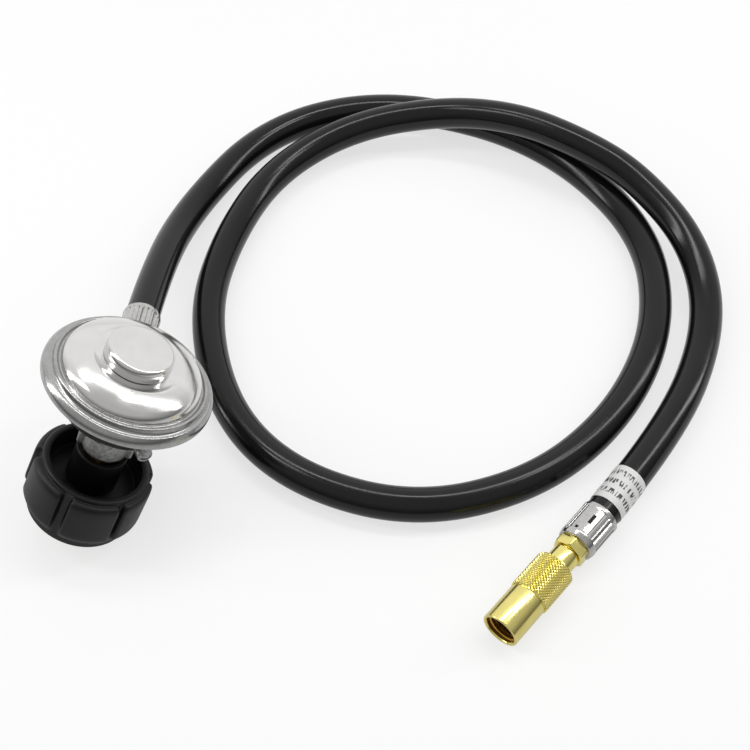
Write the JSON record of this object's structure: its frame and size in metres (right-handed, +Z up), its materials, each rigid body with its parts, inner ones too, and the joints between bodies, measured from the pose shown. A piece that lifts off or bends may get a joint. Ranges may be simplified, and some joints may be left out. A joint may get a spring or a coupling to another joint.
{
  "type": "gas regulator hose",
  "caption": "Low pressure gas regulator with a hand tightened cylinder nut, a free rubber hose and a brass screw coupling on its end.",
  "frame": {"origin": "under the middle of the regulator, on the table that it leans on, measured without the hose and what is on it", "axes": "+Z up from the table, +Y the way the hose leaves the regulator, +X to the right of that, towards the hose's loop"},
  "size_m": [0.3027, 0.3072, 0.0833],
  "materials": {
    "cover": "bright pressed steel",
    "cover_cap": "bright pressed steel",
    "adjusting_plug": "moulded",
    "control_spring": "spring steel wire",
    "diaphragm": "moulded rubber",
    "diaphragm_plate": "pressed steel",
    "diaphragm_stem": "turned",
    "body": "zinc die casting, fine grain",
    "lever": "pressed steel",
    "lever_pin": "drawn steel",
    "valve_pad": "moulded rubber",
    "valve_seat": "turned",
    "vent_screen": "pressed",
    "inlet_nipple": "turned",
    "neck_sleeve": "moulded",
    "thermal_bushing": "moulded",
    "check_retainer": "turned",
    "check_poppet": "turned",
    "check_spring": "spring steel wire",
    "handwheel_nut": "moulded, satin",
    "outlet_ferrule": "crimped, plated",
    "outlet_stem": "turned",
    "hose": "smooth, glossy",
    "hose_label": "printed film",
    "end_ferrule": "crimped, plated",
    "end_stem": "turned, bright",
    "end_coupling": "turned, knurled",
    "coupling_washer": "flat washer"
  },
  "bodies": {
    "regulator": {"cover": "cover", "cover_cap": "cover_cap", "adjusting_plug": "adjusting_plug", "control_spring": "control_spring", "diaphragm": "diaphragm", "body": "body", "lever_pin": "lever_pin", "valve_seat": "valve_seat", "vent_screen": "vent_screen", "inlet_nipple": "inlet_nipple", "neck_sleeve": "neck_sleeve", "thermal_bushing": "thermal_bushing", "check_retainer": "check_retainer", "check_spring": "check_spring", "outlet_ferrule": "outlet_ferrule", "outlet_stem": "outlet_stem", "hose": "hose", "hose_label": "hose_label", "end_ferrule": "end_ferrule", "end_stem": "end_stem", "coupling_washer": "coupling_washer"},
    "nut": {"handwheel_nut": "handwheel_nut"},
    "coupling": {"end_coupling": "end_coupling"},
    "diaphragm_center": {"diaphragm_plate": "diaphragm_plate", "diaphragm_stem": "diaphragm_stem"},
    "valve_lever": {"lever": "lever", "valve_pad": "valve_pad"},
    "check_valve": {"check_poppet": "check_poppet"}
  },
  "joints": [
    {"name": "nut_turn", "type": "hinge", "parent": "regulator", "child": "nut", "pos_m": [-0.012, -0.02775, 0.02532], "axis": [0.4045, 0.2061, 0.891], "continuous": true},
    {"name": "coupling_turn", "type": "hinge", "parent": "regulator", "child": "coupling", "pos_m": [0.16446, -0.07346, 0.0088], "axis": [-0.6508, -0.7593, 0], "continuous": true},
    {"name": "diaphragm_slide", "type": "slide", "parent": "regulator", "child": "diaphragm_center", "axis": [0.4045, 0.2061, 0.891], "range_m": [0, 0.0024], "stiffness_N_per_m": 1500, "springref_m": -0.003, "deforming": ["control_spring", "diaphragm"]},
    {"name": "lever_turn", "type": "hinge", "parent": "regulator", "child": "valve_lever", "pos_m": [0.00411, -0.01556, 0.0594], "axis": [0.9135, -0.1365, -0.3832], "range_deg": [0, 13.2]},
    {"name": "check_slide", "type": "slide", "parent": "regulator", "child": "check_valve", "axis": [0.4045, 0.2061, 0.891], "range_m": [0, 0.002], "stiffness_N_per_m": 300, "springref_m": -0.002, "deforming": ["check_spring"]}
  ],
  "couplings": [
    {"joint": "lever_turn", "follows": "diaphragm_slide", "rad_per_m": 95.238}
  ]
}
